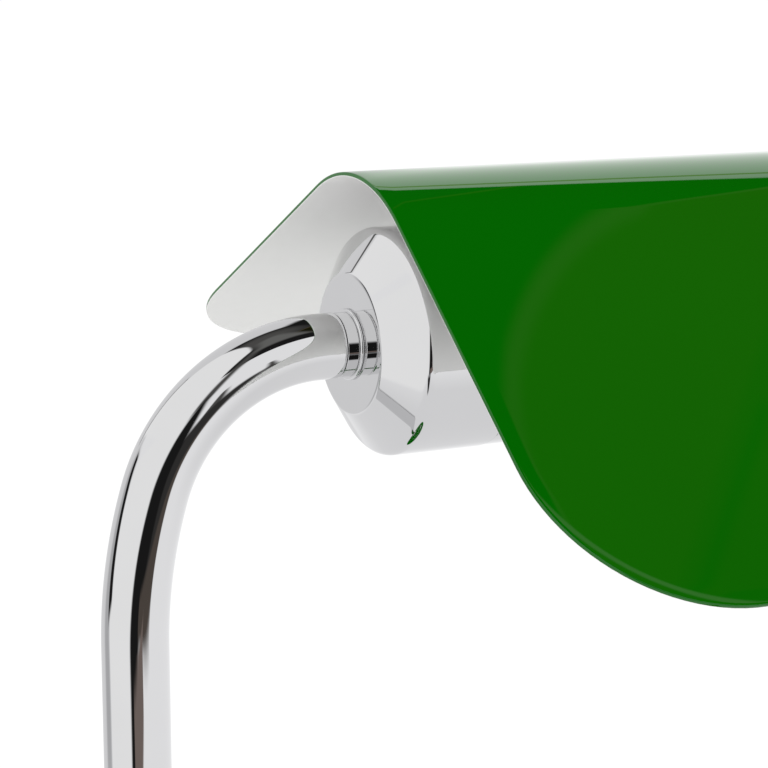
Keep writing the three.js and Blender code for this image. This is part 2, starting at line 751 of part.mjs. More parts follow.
function buildShadeSheet() {
  const { length, sheet, apexHeight, apexRadius, slope, cornerRadius } = shade;
  const foot = [slope * Math.sin(halfAngle), apexHeight - slope * Math.cos(halfAngle)];
  const inward = [-sheet * Math.cos(halfAngle), -sheet * Math.sin(halfAngle)];
  const innerFoot = [foot[0] + inward[0], foot[1] + inward[1]];
  const section = rounded([
    [-foot[0], foot[1]], [-innerFoot[0], innerFoot[1]],
    [0, apexHeight - sheet / Math.sin(halfAngle), apexRadius - sheet],
    innerFoot, foot, [0, apexHeight, apexRadius],
  ], 10);
  const tent = acrossLamp(flatPlate(outlineShape(section), length));

  // What a round corner takes off a square one, at either end of either slope.
  const past = 1;
  const cutters = [-1, 1].flatMap((side) => [[0, 1], [length, -1]].map(([end, inside]) => {
    const arcPoints = Array.from({ length: 9 }, (_, i) => {
      const angle = (i * Math.PI) / 2 / 8;
      return [
        end + inside * cornerRadius * (1 - Math.cos(angle)),
        slope - cornerRadius * (1 - Math.sin(angle)),
      ];
    });
    const corner = outlineShape([
      ...arcPoints,
      [end + inside * cornerRadius, slope + past],
      [end - inside * past, slope + past],
      [end - inside * past, slope - cornerRadius],
    ]);
    const cutDepth = 6 * sheet;
    const alongX = new THREE.Vector3(1, 0, 0);
    const down = downSlope(side);
    const place = new THREE.Matrix4()
      .makeBasis(alongX, down, alongX.clone().cross(down))
      .setPosition(0, 0, apexHeight);
    return flatPlate(corner, cutDepth).translate(0, 0, -cutDepth / 2).applyMatrix4(place);
  }));
  add('shade_sheet', cutFrom(tent, ...cutters), materials.greenEnamel, tilted);
}

// A web across the lamp axis, clamped by the shade ring, with a tab welded to each slope.
function buildShadeBracket() {
  const { sheet, webRadius, tabStart, tabEnd, tabLength } = bracket;
  const bellyStart = radians(bracket.bellyStart);
  const reach = shade.apexHeight * Math.sin(halfAngle) - shade.sheet - gap;
  const normal = [Math.cos(halfAngle), Math.sin(halfAngle)];
  const tabPoint = (along, inward) => {
    const depth = reach - inward;
    return [
      depth * normal[0] + along * normal[1],
      depth * normal[1] - along * normal[0],
    ];
  };
  const mirrored = ([y, z]) => [-y, z];
  const high = tabPoint(tabStart, 0);
  const low = tabPoint(tabEnd, 0);
  const bellySteps = 10;
  const belly = Array.from({ length: bellySteps + 1 }, (_, i) => {
    const angle = -bellyStart - ((Math.PI - 2 * bellyStart) * i) / bellySteps;
    return [webRadius * Math.cos(angle), webRadius * Math.sin(angle)];
  });
  const web = flatPlate(
    outlineShape([high, low, ...belly, mirrored(low), mirrored(high)]), sheet,
    [circleShape(holder.radius + wallGap)], 14);
  const tabCorners = [high, low, tabPoint(tabEnd, sheet), tabPoint(tabStart, sheet)];
  const tabs = [tabCorners, tabCorners.map(mirrored)].map((corners) =>
    flatPlate(outlineShape(corners), tabLength));
  add('shade_bracket', acrossLamp(joined(web, ...tabs)), materials.steel, tilted,
    [sleeve.end + gap, 0, 0]);
}

function buildShadeRing() {
  const { radius, height, lip, step } = shadeRing;
  const start = sleeve.end + gap + bracket.sheet + gap;
  const hole = holder.radius + wallGap;
  const outline = [
    [start, hole], [start, radius], [start + lip, radius], [start + lip, radius - step],
    [start + height, radius - step], [start + height, hole],
  ];
  add('shade_ring', turnedAlongX(outline, 28), materials.blackPlastic, head);
}

// ---------------------------------------------------------------- assembly

buildFeltPad();
buildBasePlate();
buildPlateScrews();
buildBaseWeight();
buildBaseCover();
buildCableBush();
buildTerminalBlock();
buildPushSwitch();
buildStem();
buildStemFlex();
buildNeckSpigot();
buildSwivelStack();
buildStopPin();
buildEndCap();
buildHolderSleeve();
buildHolderNipple();
buildLampholder();
buildTerminalScrews();
buildBulb();
buildShadeSheet();
buildShadeBracket();
buildShadeRing();

export default lamp;
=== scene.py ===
"""Banker desk lamp: the looks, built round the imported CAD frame.

Metres, +Z up. The lamp axis runs along +X, from the stem to the bulb, and -Y is the front.
A piece that is named NODE_fine takes the place of the CAD node NODE.
"""

import json
import math

import bmesh
import bpy
from mathutils import Matrix, Vector


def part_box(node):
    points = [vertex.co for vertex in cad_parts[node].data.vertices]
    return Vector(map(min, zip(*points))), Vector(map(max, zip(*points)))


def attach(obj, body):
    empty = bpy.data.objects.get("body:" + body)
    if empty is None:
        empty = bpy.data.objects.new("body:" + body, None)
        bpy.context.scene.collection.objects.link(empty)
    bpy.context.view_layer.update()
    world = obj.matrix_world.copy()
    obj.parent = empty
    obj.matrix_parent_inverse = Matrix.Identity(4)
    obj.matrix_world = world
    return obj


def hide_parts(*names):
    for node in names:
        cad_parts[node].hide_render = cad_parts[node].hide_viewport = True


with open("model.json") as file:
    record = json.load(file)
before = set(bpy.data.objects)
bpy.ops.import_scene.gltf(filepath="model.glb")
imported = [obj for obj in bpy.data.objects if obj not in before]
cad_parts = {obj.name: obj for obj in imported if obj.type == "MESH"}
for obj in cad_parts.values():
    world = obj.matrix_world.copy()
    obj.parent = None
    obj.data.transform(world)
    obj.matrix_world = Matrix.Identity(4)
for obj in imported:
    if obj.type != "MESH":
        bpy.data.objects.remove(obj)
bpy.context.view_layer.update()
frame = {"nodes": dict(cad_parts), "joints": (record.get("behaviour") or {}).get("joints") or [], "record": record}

MM = 0.001

# ------------------------------------------------------------------ driving dimensions

GAP = 0.3 * MM  # what the CAD pieces keep between each other
SNUG = 0.03 * MM  # what fine pieces keep where they fit closely

# Radii of the small edges that no other dimension drives.
CRISP = 0.2 * MM
EASED = 0.3 * MM
SOFT = 0.4 * MM
ROUNDED = 0.6 * MM

# How many segments a turned piece has round it.
MANY, USUAL, SOME, FEW = 192, 128, 96, 64

SPUN_WALL = 1.2 * MM  # the sheet of the base cover, the end cap and the sleeve
THREAD_HOLE = 5.3 * MM  # the radius of a hole that clears an M10 thread

SWITCH_NECK = 10 * MM  # the radius of the switch where it passes the cover

STEM_LOW_BEND = 106 * MM
STEM_TOP_BEND = 39 * MM
STEM_TOP_TURN = math.radians(72.5)
STEM_WALL = 1 * MM

NECK_BEAD = 0.75 * MM  # the length of the bead washer between the neck and the cap

CAP_FACE_RADIUS = 14.9 * MM
CAP_CONE = 6.5 * MM

BULB_CAP_WALL = 0.5 * MM
BULB_GLASS = 0.8 * MM
BULB_NECK = 13 * MM
BULB_GLOBE = 27.5 * MM

SHADE_APEX = 43.2 * MM  # where the two slopes would meet, above the lamp axis
SHADE_HALF_ANGLE = math.radians(55.74)
SHADE_APEX_RADIUS = 32.8 * MM
SHADE_SLOPE = 122.6 * MM  # from that meeting point to the lower edge
SHADE_CORNER = 37.2 * MM
SHADE_SHEET = 0.95 * MM
SHADE_PAINTED = 0.78 * MM  # how much of the sheet the green skin takes, over the cut edge
SHADE_ROLL = 4 * MM  # the width of the border where the sheet rolls down a little
SHADE_DROOP = 0.06 * MM  # how far it rolls down
SHADE_TILT = math.radians(6.06)

VIEW_AZIMUTH = math.radians(27.52)  # the camera looks this far from +Y towards +X
VIEW_DROP = math.radians(10.71)  # and this far down
VIEW_DISTANCE = 472.9 * MM
VIEW_RIGHT = 7.5 * MM  # how far right of the cap's face it aims
VIEW_DOWN = 8.4 * MM  # and how far below
LENS, SENSOR = 105.1, 36

# ------------------------------------------------------------------ places from the frame


def low(node):
    return Vector(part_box(node)[0])


def high(node):
    return Vector(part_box(node)[1])


def middle(node):
    return (low(node) + high(node)) / 2


def radius_of(node, across="y"):
    """Half the size of a round node, measured along a direction across its axis."""
    return (getattr(high(node), across) - getattr(low(node), across)) / 2


tilt_joint = next(joint for joint in frame["joints"] if joint["name"] == "head_tilt")
AXIS_Z = Vector(tilt_joint["pos_m"]).z
cap_face = Vector((low("end_cap").x, 0, AXIS_Z))
bead_start = cap_face.x - NECK_BEAD
shade_bend = (math.pi / 2 - SHADE_HALF_ANGLE) * SHADE_APEX_RADIUS  # from the ridge to a flat

# ------------------------------------------------------------------ node helpers


def new_node(tree, kind, inputs=None, **settings):
    """Adds a shader node. An input is a value, or another node's output to link from."""
    made = tree.nodes.new(kind)
    for name, value in settings.items():
        setattr(made, name, value)
    for key, value in (inputs or {}).items():
        if isinstance(value, bpy.types.NodeSocket):
            tree.links.new(value, made.inputs[key])
        else:
            made.inputs[key].default_value = value
    return made


def math_node(tree, operation, first, second=0.0):
    made = new_node(tree, "ShaderNodeMath", {0: first, 1: second}, operation=operation)
    return made.outputs[0]


def ramp(tree, factor, stops):
    """A colour ramp between two (place, colour) stops. A colour may be one grey value."""
    made = new_node(tree, "ShaderNodeValToRGB", {"Fac": factor})
    elements = made.color_ramp.elements
    for element, (place, colour) in zip(elements, stops):
        element.position = place
        grey = isinstance(colour, (int, float))
        element.color = (colour, colour, colour, 1) if grey else (*colour, 1)
    return made.outputs["Color"]


def noise(tree, scale, detail, roughness=0.5):
    place = new_node(tree, "ShaderNodeTexCoord").outputs["Object"]
    made = new_node(tree, "ShaderNodeTexNoise", {
        "Vector": place, "Scale": scale, "Detail": detail, "Roughness": roughness,
    })
    return made.outputs["Fac"]


def principled(name, **values):
    """A material whose Principled shader has these socket values."""
    material = bpy.data.materials.new(name)
    material.use_nodes = True
    shader = material.node_tree.nodes["Principled BSDF"]
    for key, value in values.items():
        shader.inputs[key.replace("_", " ")].default_value = value
    return material, material.node_tree, shader


def vary(tree, shader, socket, pattern, start, end):
    """Lets a pattern vary a socket between two (place, value) stops."""
    tree.links.new(ramp(tree, pattern, [start, end]), shader.inputs[socket])


def emboss(tree, shader, pattern, strength, depth):
    raised = new_node(tree, "ShaderNodeBump", {
        "Height": pattern, "Strength": strength, "Distance": depth,
    })
    tree.links.new(raised.outputs["Normal"], shader.inputs["Normal"])


def dimmed(colour, share):
    return tuple(channel * share for channel in colour)


# ------------------------------------------------------------------ materials


def enamel(name, colour, deep):
    """Stove enamel: a thin clear gloss over colour that varies a little, with orange peel."""
    material, tree, shader = principled(
        name, Coat_Weight=1.0, Coat_Roughness=0.02, IOR=1.5, Specular_IOR_Level=0.0)
    vary(tree, shader, "Base Color", noise(tree, scale=9, detail=3), (0.3, deep), (0.7, colour))
    vary(tree, shader, "Roughness", noise(tree, scale=260, detail=2), (0.3, 0.07), (0.7, 0.11))
    emboss(tree, shader, noise(tree, scale=420, detail=1), strength=0.05, depth=0.04 * MM)
    return material


def satin_paint(name, colour, roughness):
    material, tree, shader = principled(name, Specular_IOR_Level=0.45)
    spread = 0.05
    vary(tree, shader, "Base Color", noise(tree, scale=14, detail=4),
         (0.3, dimmed(colour, 0.975)), (0.7, colour))
    vary(tree, shader, "Roughness", noise(tree, scale=300, detail=3),
         (0.3, roughness - spread), (0.7, roughness + spread))
    emboss(tree, shader, noise(tree, scale=900, detail=3), strength=0.08, depth=0.03 * MM)
    return material


def plated(name, colour, roughness, haze):
    """Polished plating: mirror bright, with a faint haze and the slow waves of buffing."""
    material, tree, shader = principled(name, Metallic=1.0)
    vary(tree, shader, "Base Color", noise(tree, scale=30, detail=5),
         (0.35, dimmed(colour, 0.97)), (0.65, colour))
    vary(tree, shader, "Roughness", noise(tree, scale=55, detail=6, roughness=0.6),
         (0.45, roughness), (0.75, roughness + haze))
    slow = noise(tree, scale=60, detail=1)
    fine = math_node(tree, "MULTIPLY", noise(tree, scale=600, detail=1), 0.05)
    waves = math_node(tree, "ADD", slow, fine)
    emboss(tree, shader, waves, strength=0.08, depth=0.02 * MM)
    return material


def brushed(name, colour, roughness):
    """Zinc-plated steel: a satin metal with fine lines and a mottled sheen."""
    material, tree, shader = principled(name, Metallic=1.0)
    place = new_node(tree, "ShaderNodeTexCoord").outputs["Object"]
    stretched = new_node(tree, "ShaderNodeMapping", {"Vector": place, "Scale": (60, 900, 900)})
    lines = new_node(tree, "ShaderNodeTexNoise", {
        "Vector": stretched.outputs["Vector"], "Scale": 1.0, "Detail": 3.0,
    }).outputs["Fac"]
    vary(tree, shader, "Base Color", noise(tree, scale=90, detail=5),
         (0.35, dimmed(colour, 0.8)), (0.65, colour))
    vary(tree, shader, "Roughness", lines, (0.3, roughness - 0.08), (0.7, roughness + 0.1))
    emboss(tree, shader, lines, strength=0.2, depth=0.02 * MM)
    return material


def moulded(name, colour, roughness, grain, relief=0.1 * MM):
    """Moulded plastic, rubber, fibre or ceramic, with a fine grain."""
    material, tree, shader = principled(name)
    faded = tuple(min(1.0, channel * 1.25 + 0.004) for channel in colour)
    spread = 0.06
    vary(tree, shader, "Base Color", noise(tree, scale=40, detail=5), (0.35, colour), (0.7, faded))
    vary(tree, shader, "Roughness", noise(tree, scale=grain / 3, detail=3),
         (0.3, roughness - spread), (0.7, roughness + spread))
    emboss(tree, shader, noise(tree, scale=grain, detail=2), strength=0.3, depth=relief)
    return material


def cast_iron():
    material, tree, shader = principled("cast_iron", Metallic=0.6, Roughness=0.75)
    vary(tree, shader, "Base Color", noise(tree, scale=120, detail=6),
         (0.35, (0.015, 0.015, 0.016)), (0.7, (0.06, 0.055, 0.05)))
    rough_skin = noise(tree, scale=700, detail=5, roughness=0.7)
    emboss(tree, shader, rough_skin, strength=0.8, depth=0.4 * MM)
    return material


def felt():
    """Pressed wool: short crossed fibres, so the noise is fine and the edge light is soft."""
    material, tree, shader = principled(
        "felt", Roughness=0.95, Sheen_Weight=0.35, Sheen_Roughness=0.5, Specular_IOR_Level=0.15)
    fibres = noise(tree, scale=1600, detail=6, roughness=0.75)
    clumps = math_node(tree, "MULTIPLY", noise(tree, scale=150, detail=4), 0.4)
    mixed = math_node(tree, "ADD", fibres, clumps)
    vary(tree, shader, "Base Color", mixed,
         (0.45, (0.006, 0.011, 0.008)), (0.95, (0.030, 0.045, 0.034)))
    emboss(tree, shader, mixed, strength=0.9, depth=0.5 * MM)
    return material


def opal_glass():
    """Glass frosted white inside: light goes in a little way and comes out soft."""
    material, tree, shader = principled(
        "opal_glass", Subsurface_Weight=0.4, Subsurface_Scale=0.004,
        Subsurface_Radius=(1.0, 0.95, 0.85), Coat_Weight=0.6, Coat_Roughness=0.05, IOR=1.5)
    vary(tree, shader, "Base Color", noise(tree, scale=60, detail=4),
         (0.3, (0.82, 0.81, 0.78)), (0.7, (0.87, 0.86, 0.83)))
    vary(tree, shader, "Roughness", noise(tree, scale=500, detail=4), (0.3, 0.22), (0.7, 0.3))
    emboss(tree, shader, noise(tree, scale=1500, detail=2), strength=0.15, depth=0.04 * MM)
    return material


MATERIALS = {
    "green_enamel": enamel("green_enamel", (0.0007, 0.110, 0.0002), (0.0004, 0.102, 0.0001)),
    "white_enamel": satin_paint("white_enamel", (0.80, 0.795, 0.785), 0.38),
    "chrome": plated("chrome", (0.73, 0.73, 0.735), 0.012, 0.012),
    "brass": plated("brass", (0.72, 0.50, 0.20), 0.12, 0.12),
    "steel": brushed("steel", (0.52, 0.53, 0.54), 0.36),
    "cast_iron": cast_iron(),
    "felt": felt(),
    "rubber": moulded("rubber", (0.010, 0.010, 0.011), 0.62, 1400),
    "black_plastic": moulded("black_plastic", (0.012, 0.012, 0.013), 0.36, 1800, 0.05 * MM),
    "white_plastic": moulded("white_plastic", (0.70, 0.69, 0.65), 0.4, 1500, 0.05 * MM),
    "ceramic": moulded("ceramic", (0.74, 0.72, 0.66), 0.5, 900),
    "fibre": moulded("fibre", (0.16, 0.045, 0.018), 0.8, 1100),
    "live_core": moulded("live_core", (0.11, 0.035, 0.009), 0.35, 1500, 0.03 * MM),
    "neutral_core": moulded("neutral_core", (0.012, 0.07, 0.32), 0.35, 1500, 0.03 * MM),
    "flex_sheath": moulded("flex_sheath", (0.010, 0.010, 0.011), 0.4, 1500, 0.03 * MM),
    "opal_glass": opal_glass(),
}


def paint_cad_nodes():
    """Gives every CAD node the material of its slot in the record."""
    for row in frame["record"]["subparts"]:
        mesh = frame["nodes"][row["node"]].data
        mesh.materials.clear()
        mesh.materials.append(MATERIALS[row["material_slot"]])


# ------------------------------------------------------------------ mesh helpers


def in_scene(name, data):
    """A new object that holds this data, linked into the scene."""
    made = bpy.data.objects.new(name, data)
    bpy.context.scene.collection.objects.link(made)
    return made


def finish_piece(name, mesh, slot, body, replaced, sharp_angle=35):
    """Makes a mesh into a piece: smooth, in its material, on its body, for its CAD nodes."""
    mesh.validate()
    mesh.shade_smooth()
    mesh.set_sharp_from_angle(angle=math.radians(sharp_angle))
    mesh.materials.clear()
    mesh.materials.append(MATERIALS[slot])
    piece = in_scene(name, mesh)
    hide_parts(*replaced)
    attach(piece, body)


def evenly(first, last, count):
    """Places from first to last, count equal steps apart."""
    return [first + (last - first) * index / count for index in range(count + 1)]


def filleted(corners, steps=8):
    """Turns each corner that has a radius, its third number, into an arc.

    A point just off either end of an arc keeps the shading of the straight part straight.
    """
    support = 0.12  # of the radius
    points = []
    for index, (x, y, *rest) in enumerate(corners):
        corner = Vector((x, y))
        if not rest:
            points.append(corner)
            continue
        radius = rest[0]
        before = (Vector(corners[index - 1][:2]) - corner).normalized()
        after = (Vector(corners[(index + 1) % len(corners)][:2]) - corner).normalized()
        half = before.angle(after) / 2
        tangent = radius / math.tan(half)
        centre = corner + (before + after).normalized() * radius / math.sin(half)
        start = corner + before * tangent - centre
        end = corner + after * tangent - centre
        turn = math.atan2(start.x * end.y - start.y * end.x, start.dot(end))
        points.append(corner + before * (tangent + support * radius))
        for step in range(steps + 1):
            points.append(centre + Matrix.Rotation(turn * step / steps, 2) @ start)
        points.append(corner + after * (tangent + support * radius))
    return [(point.x, point.y) for point in points]


def straight_spine(origin, direction):
    """A straight axis to turn a piece on: gives the place and the two cross directions."""
    along = Vector(direction).normalized()
    across = Vector((0, 1, 0)) if abs(along.y) < 0.5 else Vector((1, 0, 0))
    other = along.cross(across)
    return lambda distance: (Vector(origin) + along * distance, across, other)


def upright(x, y):
    """The spine of a piece that stands on the base: distances are heights."""
    return straight_spine((x, y, 0), (0, 0, 1))


def fore_and_aft(z):
    """The spine of a piece that lies from front to back: distances are world Y."""
    return straight_spine((0, 0, z), (0, 1, 0))


# Distances along the lamp axis are world X.
lamp_spine = straight_spine((0, 0, AXIS_Z), (1, 0, 0))


def turned_mesh(name, outline, spine, segments=USUAL, ripple=None):
    """Turns an outline of (along, radius) points about a spine into a closed mesh.

    An outline that starts and ends on the axis makes a solid, and any other closes on itself.
    ripple(along, angle) is added to the radius, as for a thread.
    """
    work = bmesh.new()
    rings = []
    for along, radius in outline:
        centre, across, other = spine(along)
        if radius == 0:
            rings.append([work.verts.new(centre)])
            continue
        ring = []
        for step in range(segments):
            angle = 2 * math.pi * step / segments
            reach = radius + (ripple(along, angle) if ripple else 0)
            offset = across * math.cos(angle) + other * math.sin(angle)
            ring.append(work.verts.new(centre + offset * reach))
        rings.append(ring)
    is_ring = len(rings[0]) > 1
    for first, second in zip(rings, rings[1:] + (rings[:1] if is_ring else [])):
        for step in range(segments):
            after = (step + 1) % segments
            corners = [first[step % len(first)], first[after % len(first)],
                       second[after % len(second)], second[step % len(second)]]
            unique = list(dict.fromkeys(corners))
            if len(unique) > 2:
                work.faces.new(unique)
    return closed_mesh(name, work)


def closed_mesh(name, work):
    """The mesh of a finished bmesh, with its faces turned outwards."""
    bmesh.ops.recalc_face_normals(work, faces=work.faces)
    mesh = bpy.data.meshes.new(name)
    work.to_mesh(mesh)
    work.free()
    return mesh


def turned(name, outline, spine, slot, body, **options):
    """A turned piece in place of the CAD node that it is named after."""
    mesh = turned_mesh(name, outline, spine, **options)
    finish_piece(name, mesh, slot, body, [name.removesuffix("_fine")])


def thread(first, last, pitch, depth):
    """The ripple of a round thread, cut between two places along the axis."""

    def ripple(along, angle):
        if not first <= along <= last:
            return 0
        return depth * (math.cos(2 * math.pi * along / pitch - angle) - 1) / 2

    return ripple


def drill(radius, spine, start, end):
    """A plain cylinder to cut a hole with."""
    outline = [(start, 0), (start, radius), (end, radius), (end, 0)]
    return turned_mesh("drill", outline, spine, segments=FEW)


def cut(mesh, *drills):
    """Cuts closed meshes out of a mesh."""
    body = in_scene("cut_body", mesh)
    cutters = [in_scene("cut_tool", tool) for tool in drills]
    for cutter in cutters:
        modifier = body.modifiers.new("cut", "BOOLEAN")
        modifier.operation = "DIFFERENCE"
        modifier.solver = "EXACT"
        modifier.object = cutter
    graph = bpy.context.evaluated_depsgraph_get()
    result = bpy.data.meshes.new_from_object(body.evaluated_get(graph))
    for spare in (body, *cutters):
        bpy.data.objects.remove(spare)
    return result


# ------------------------------------------------------------------ base


def build_felt_pad():
    radius, top = high("felt_pad").x, high("felt_pad").z
    outline = filleted([(0, 0), (0, radius, EASED), (top, radius, ROUNDED), (top, 0)], steps=3)
    turned("felt_pad_fine", outline, upright(0, 0), "felt", "base_and_stem")


def build_base_cover():
    """A spun bowl, upside down, with holes for the stem, the switch and the cable."""
    bottom, top = low("base_cover").z, high("base_cover").z
    radius = high("base_cover").x
    inside, under = radius - SPUN_WALL, top - SPUN_WALL
    edge, switch_hole, inlet_hole = 7 * MM, 10.4 * MM, 4.5 * MM
    outline = filleted([
        (top, 0), (top, radius, edge), (bottom, radius, EASED), (bottom, inside, EASED),
        (under, inside, edge - SPUN_WALL), (under, 0),
    ], steps=10)
    bowl = turned_mesh("base_cover_fine", outline, upright(0, 0), segments=MANY)
    stem, switch, inlet = middle("stem_collar"), middle("push_button"), middle("cable_bush")
    mesh = cut(
        bowl,
        drill(THREAD_HOLE, upright(stem.x, 0), 0, 2 * top),
        drill(switch_hole, upright(switch.x, switch.y), 0, 2 * top),
        drill(inlet_hole, fore_and_aft(inlet.z), radius / 2, 2 * radius))
    finish_piece("base_cover_fine", mesh, "green_enamel", "base_and_stem", ["base_cover"])


def build_cable_bush():
    inner, outer = low("cable_bush").y, high("cable_bush").y
    flange = radius_of("cable_bush", "x")
    flange_height, waist, bore = 1.8 * MM, 4.2 * MM, 3.3 * MM
    nose, mouth = 1.1 * MM, 0.7 * MM
    outline = filleted([
        (inner, bore, SOFT), (inner, flange, ROUNDED), (inner + flange_height, flange, EASED),
        (inner + flange_height, waist), (outer - flange_height, waist),
        (outer - flange_height, flange, EASED), (outer, flange, nose), (outer, bore, mouth),
    ], steps=5)
    turned("cable_bush_fine", outline, fore_and_aft(middle("cable_bush").z), "rubber",
           "base_and_stem", segments=FEW)


def build_stem_collar():
    """A flange that sweeps up into a short neck round the tube."""
    foot, top = low("stem_collar").z, high("stem_collar").z
    radius = radius_of("stem_collar", "x")
    bore, neck, flare = 7.3 * MM, 9.5 * MM, 1.5 * MM
    flange, sweep_start = 2.5 * MM, 3.5 * MM
    shoulder, sweep, brow = 1.5 * MM, 3 * MM, 1.2 * MM
    outline = filleted([
        (foot, bore), (foot, radius, EASED), (foot + flange, radius, shoulder),
        (foot + sweep_start, neck + flare, sweep), (top, neck, brow), (top, bore, SOFT),
    ])
    turned("stem_collar_fine", outline, upright(middle("stem_collar").x, 0), "chrome",
           "base_and_stem")


def switch_spine():
    place = middle("push_button")
    return upright(place.x, place.y)


def build_switch_bezel():
    foot, top = low("switch_bezel").z, high("switch_bezel").z
    radius, inside = radius_of("switch_bezel", "x"), SWITCH_NECK + GAP
    brow, lip = 1.3 * MM, 0.5 * MM
    outline = filleted([
        (foot, inside), (foot, radius, CRISP), (top, radius, brow), (top, inside, lip),
    ])
    turned("switch_bezel_fine", outline, switch_spine(), "chrome", "base_and_stem")


def build_switch_body():
    """A round can under the cover, with a neck that holds the button in its well."""
    bottom, top = low("switch_body").z, high("switch_body").z
    radius = radius_of("switch_body", "x")
    well, floor, base_edge = 8.3 * MM, 2 * MM, 0.8 * MM
    shoulder = low("stem_collar").z - 1.8 * MM
    outline = filleted([
        (bottom, 0), (bottom, radius, base_edge), (shoulder, radius, SOFT),
        (shoulder, SWITCH_NECK), (top, SWITCH_NECK, SOFT), (top, well, SOFT),
        (bottom + floor, well), (bottom + floor, 0),
    ])
    turned("switch_body_fine", outline, switch_spine(), "black_plastic", "base_and_stem")


def build_push_button():
    """A button with a low dome, which ends in a point too small to see."""
    bottom, top = low("push_button").z, high("push_button").z
    radius = radius_of("push_button", "x")
    dome, dome_edge, dome_curve, tip = 1.4 * MM, 0.9 * MM, 3 * MM, 0.001 * MM
    knee_drop, knee_reach = 0.35, 0.66  # shares of the dome's height and the radius
    knee_height, knee_radius = top - dome * knee_drop, radius * knee_reach
    outline = filleted([
        (bottom, 0), (bottom, radius, SOFT), (top - dome, radius, dome_edge),
        (knee_height, knee_radius, dome_curve), (top, tip), (top, 0),
    ])
    turned("push_button_fine", outline, switch_spine(), "chrome", "button")


# ------------------------------------------------------------------ stem and neck


def stem_spine():
    """The stem's centre line by distance from its foot, and where its bends start and end."""
    foot = Vector((middle("stem_collar").x, 0, low("stem_tube").z))
    low_turn = math.pi / 2 - STEM_TOP_TURN
    rise = STEM_TOP_BEND * (1 - math.sin(low_turn)) + STEM_LOW_BEND * math.sin(low_turn)
    straight = AXIS_Z - rise - foot.z
    low_end = straight + STEM_LOW_BEND * low_turn
    top_end = low_end + STEM_TOP_BEND * STEM_TOP_TURN
    reach = STEM_LOW_BEND - (STEM_LOW_BEND - STEM_TOP_BEND) * math.cos(low_turn)
    low_centre = foot + Vector((STEM_LOW_BEND, 0, straight))
    top_centre = Vector((foot.x + reach, 0, AXIS_Z - STEM_TOP_BEND))
    sideways = Vector((0, 1, 0))

    def bent(centre, radius, turn):
        """A point on a bend that has turned so far from upright."""
        out = Vector((-math.cos(turn), 0, math.sin(turn)))
        return centre + out * radius, sideways, out

    def spine(distance):
        if distance <= straight:
            return foot + Vector((0, 0, distance)), sideways, Vector((-1, 0, 0))
        if distance <= low_end:
            return bent(low_centre, STEM_LOW_BEND, (distance - straight) / STEM_LOW_BEND)
        if distance <= top_end:
            turn = low_turn + (distance - low_end) / STEM_TOP_BEND
            return bent(top_centre, STEM_TOP_BEND, turn)
        level = Vector((top_centre.x + distance - top_end, 0, AXIS_Z))
        return level, sideways, Vector((0, 0, 1))

    end = top_end + high("stem_tube").x - top_centre.x
    return spine, straight, top_end, end


def build_stem_tube():
    spine, bends_start, bends_end, end = stem_spine()
    radius = radius_of("stem_tube")
    bore = radius - STEM_WALL
    lip, step = 2 * MM, 1 * MM
    bends = evenly(bends_start, bends_end, math.ceil((bends_end - bends_start) / step))
    mouth = filleted([
        (end - lip, radius), (end, radius, ROUNDED), (end, bore, CRISP), (end - lip, bore),
    ])
    outline = (
        [(0, bore), (0, radius)] + [(along, radius) for along in bends] + mouth[1:-1]
        + [(along, bore) for along in reversed(bends)]
    )
    turned("stem_tube_fine", outline, spine, "chrome", "base_and_stem", segments=SOME)


def build_neck_spigot():
    """Its tail sits in the tube, its shoulder shows, and its shank runs on into the cap."""
    start, end = low("neck_spigot").x, high("neck_spigot").x
    radius = radius_of("neck_spigot")
    tail, shank, bore = 5.7 * MM, 4.9 * MM, 3.1 * MM
    tube_edge, bead_edge = 0.1 * MM, 0.15 * MM
    shoulder_start, shoulder_end = high("stem_tube").x + SNUG, bead_start - SNUG
    outline = filleted([
        (start, bore), (start, tail), (shoulder_start, tail), (shoulder_start, radius, tube_edge),
        (shoulder_end, radius, bead_edge), (shoulder_end, shank), (end, shank, SOFT), (end, bore),
    ])
    turned("neck_spigot_fine", outline, lamp_spine, "chrome", "base_and_stem")


def build_neck_washer():
    """A thin bead that closes the neck to the cap."""
    end = cap_face.x - SNUG
    radius, bead = radius_of("neck_washer"), 0.34 * MM
    outline = filleted([
        (bead_start, THREAD_HOLE), (bead_start, radius, bead), (end, radius, bead),
        (end, THREAD_HOLE),
    ])
    turned("neck_washer_fine", outline, lamp_spine, "chrome", "base_and_stem")


# ------------------------------------------------------------------ housing and lampholder


def build_end_cap():
    """A flat face, a cone and a cylinder, hollow from behind."""
    start, end = low("end_cap").x, high("end_cap").x
    radius, cone_end = radius_of("end_cap"), start + CAP_CONE
    face, inner_step = 1.5 * MM, 0.5 * MM
    face_edge, cone_edge = 1.6 * MM, 2.5 * MM
    outline = filleted([
        (start, THREAD_HOLE, CRISP), (start, CAP_FACE_RADIUS, face_edge),
        (cone_end, radius, cone_edge), (end, radius, CRISP), (end, radius - SPUN_WALL),
        (cone_end + inner_step, radius - SPUN_WALL), (start + face, CAP_FACE_RADIUS - SPUN_WALL),
        (start + face, THREAD_HOLE),
    ], steps=10)
    turned("end_cap_fine", outline, lamp_spine, "chrome", "head", segments=MANY)


